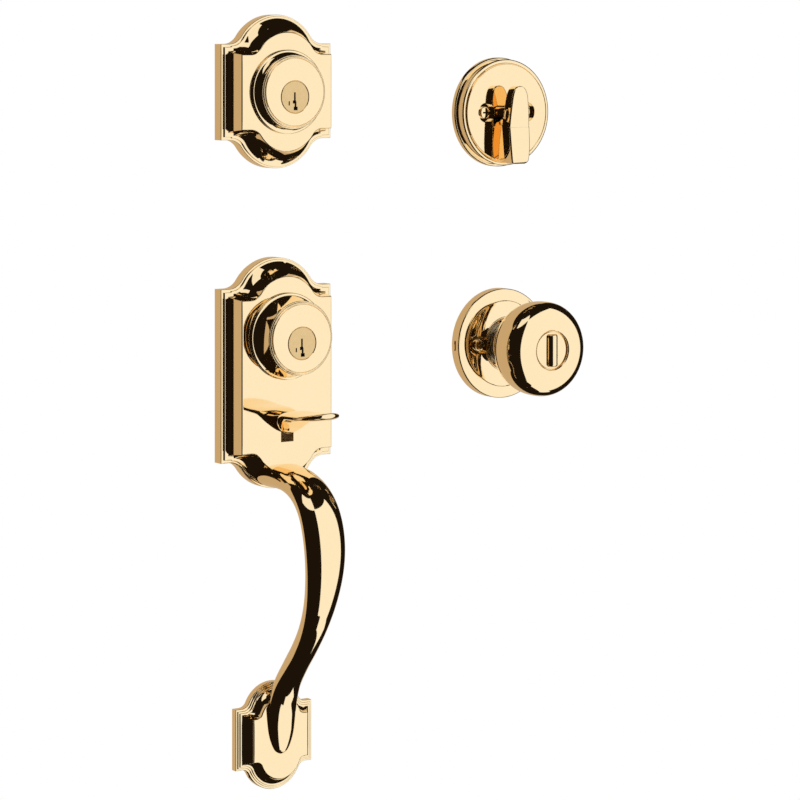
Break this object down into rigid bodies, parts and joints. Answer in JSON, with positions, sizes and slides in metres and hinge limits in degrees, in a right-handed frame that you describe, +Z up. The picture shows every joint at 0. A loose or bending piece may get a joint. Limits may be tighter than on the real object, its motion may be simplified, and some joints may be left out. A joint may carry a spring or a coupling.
{
  "type": "entry door handleset",
  "caption": "Polished entry handleset: keyed deadbolt trim over a keyed grip handle with thumb piece, with an inside turn and a locking knob.",
  "frame": {"origin": "the handle's key plug axis and cross-bore axis on the door's outer face", "axes": "+X to the right across the door, +Y into the door, +Z up; the inside trim stands beside the outside trim and faces the same way"},
  "size_m": [0.231, 0.1037, 0.4458],
  "materials": {
    "polished_brass": "polished",
    "satin_brass": "satin",
    "spring_steel": "plain",
    "zinc_steel": "zinc plated"
  },
  "bodies": {
    "door_side": {"deadbolt_rosette": "polished_brass", "deadbolt_cylinder_body": "polished_brass", "deadbolt_posts": "zinc_steel", "handle_casting": "polished_brass", "entry_cylinder_body": "polished_brass", "entry_posts": "zinc_steel", "chassis_plate": "zinc_steel", "chassis_screws": "zinc_steel", "thumb_pivot_pin": "zinc_steel", "slider_spring": "spring_steel", "base_stud": "zinc_steel", "turn_rosette": "polished_brass", "turn_backing_plate": "zinc_steel", "turn_screws": "polished_brass", "knob_rosette": "polished_brass", "knob_chassis": "zinc_steel", "knob_return_spring": "spring_steel", "knob_screws": "polished_brass"},
    "deadbolt_plug_set": {"deadbolt_plug": "satin_brass", "deadbolt_key_followers": "satin_brass", "deadbolt_follower_springs": "spring_steel", "deadbolt_spring_cover": "satin_brass", "deadbolt_code_wafers": "zinc_steel", "deadbolt_side_bar": "satin_brass", "deadbolt_plug_clip": "spring_steel", "deadbolt_torque_blade": "zinc_steel"},
    "entry_plug_set": {"entry_plug": "satin_brass", "entry_key_followers": "satin_brass", "entry_follower_springs": "spring_steel", "entry_spring_cover": "satin_brass", "entry_code_wafers": "zinc_steel", "entry_side_bar": "satin_brass", "entry_plug_clip": "spring_steel", "entry_torque_blade": "zinc_steel"},
    "thumb": {"thumb_piece": "polished_brass"},
    "slider": {"lift_slider": "zinc_steel"},
    "hub": {"spindle_hub": "zinc_steel"},
    "turn": {"thumb_turn": "polished_brass", "turn_washer": "spring_steel", "turn_clip": "spring_steel"},
    "knob": {"knob_shell": "polished_brass", "knob_shank": "zinc_steel", "knob_clip": "spring_steel", "knob_spindle": "zinc_steel"},
    "button": {"turn_button": "polished_brass", "button_stem": "zinc_steel", "button_clip": "spring_steel"}
  },
  "joints": [
    {"name": "deadbolt_key_turn", "type": "hinge", "parent": "door_side", "child": "deadbolt_plug_set", "pos_m": [0, 0, 0.1397], "axis": [0, 1, 0], "range_deg": [-90, 90]},
    {"name": "entry_key_turn", "type": "hinge", "parent": "door_side", "child": "entry_plug_set", "pos_m": [0, 0, 0], "axis": [0, 1, 0], "range_deg": [-90, 90]},
    {"name": "thumb_press", "type": "hinge", "parent": "door_side", "child": "thumb", "pos_m": [0, -0.0126, -0.0486], "axis": [1, 0, 0], "range_deg": [0, 18], "stiffness_Nm_per_rad": 0.3, "springref_deg": -28.65},
    {"name": "slider_lift", "type": "slide", "parent": "door_side", "child": "slider", "axis": [0, 0, 1], "range_m": [0, 0.0024], "deforming": ["slider_spring"]},
    {"name": "spindle_turn", "type": "hinge", "parent": "door_side", "child": "hub", "pos_m": [0, 0, 0], "axis": [0, -1, 0], "range_deg": [0, 28]},
    {"name": "thumb_turn_turn", "type": "hinge", "parent": "door_side", "child": "turn", "pos_m": [0.161, 0, 0.1281], "axis": [0, 1, 0], "range_deg": [-90, 90]},
    {"name": "knob_turn", "type": "hinge", "parent": "door_side", "child": "knob", "pos_m": [0.161, 0, -0.0116], "axis": [0, 1, 0], "range_deg": [-60, 60], "stiffness_Nm_per_rad": 0.3},
    {"name": "button_turn", "type": "hinge", "parent": "knob", "child": "button", "pos_m": [0.161, 0, -0.0116], "axis": [0, 1, 0], "range_deg": [0, 90]}
  ],
  "couplings": [
    {"joint": "slider_lift", "follows": "thumb_press", "m_per_rad": 0.00737},
    {"joint": "spindle_turn", "follows": "thumb_press", "ratio": 1.4874}
  ]
}
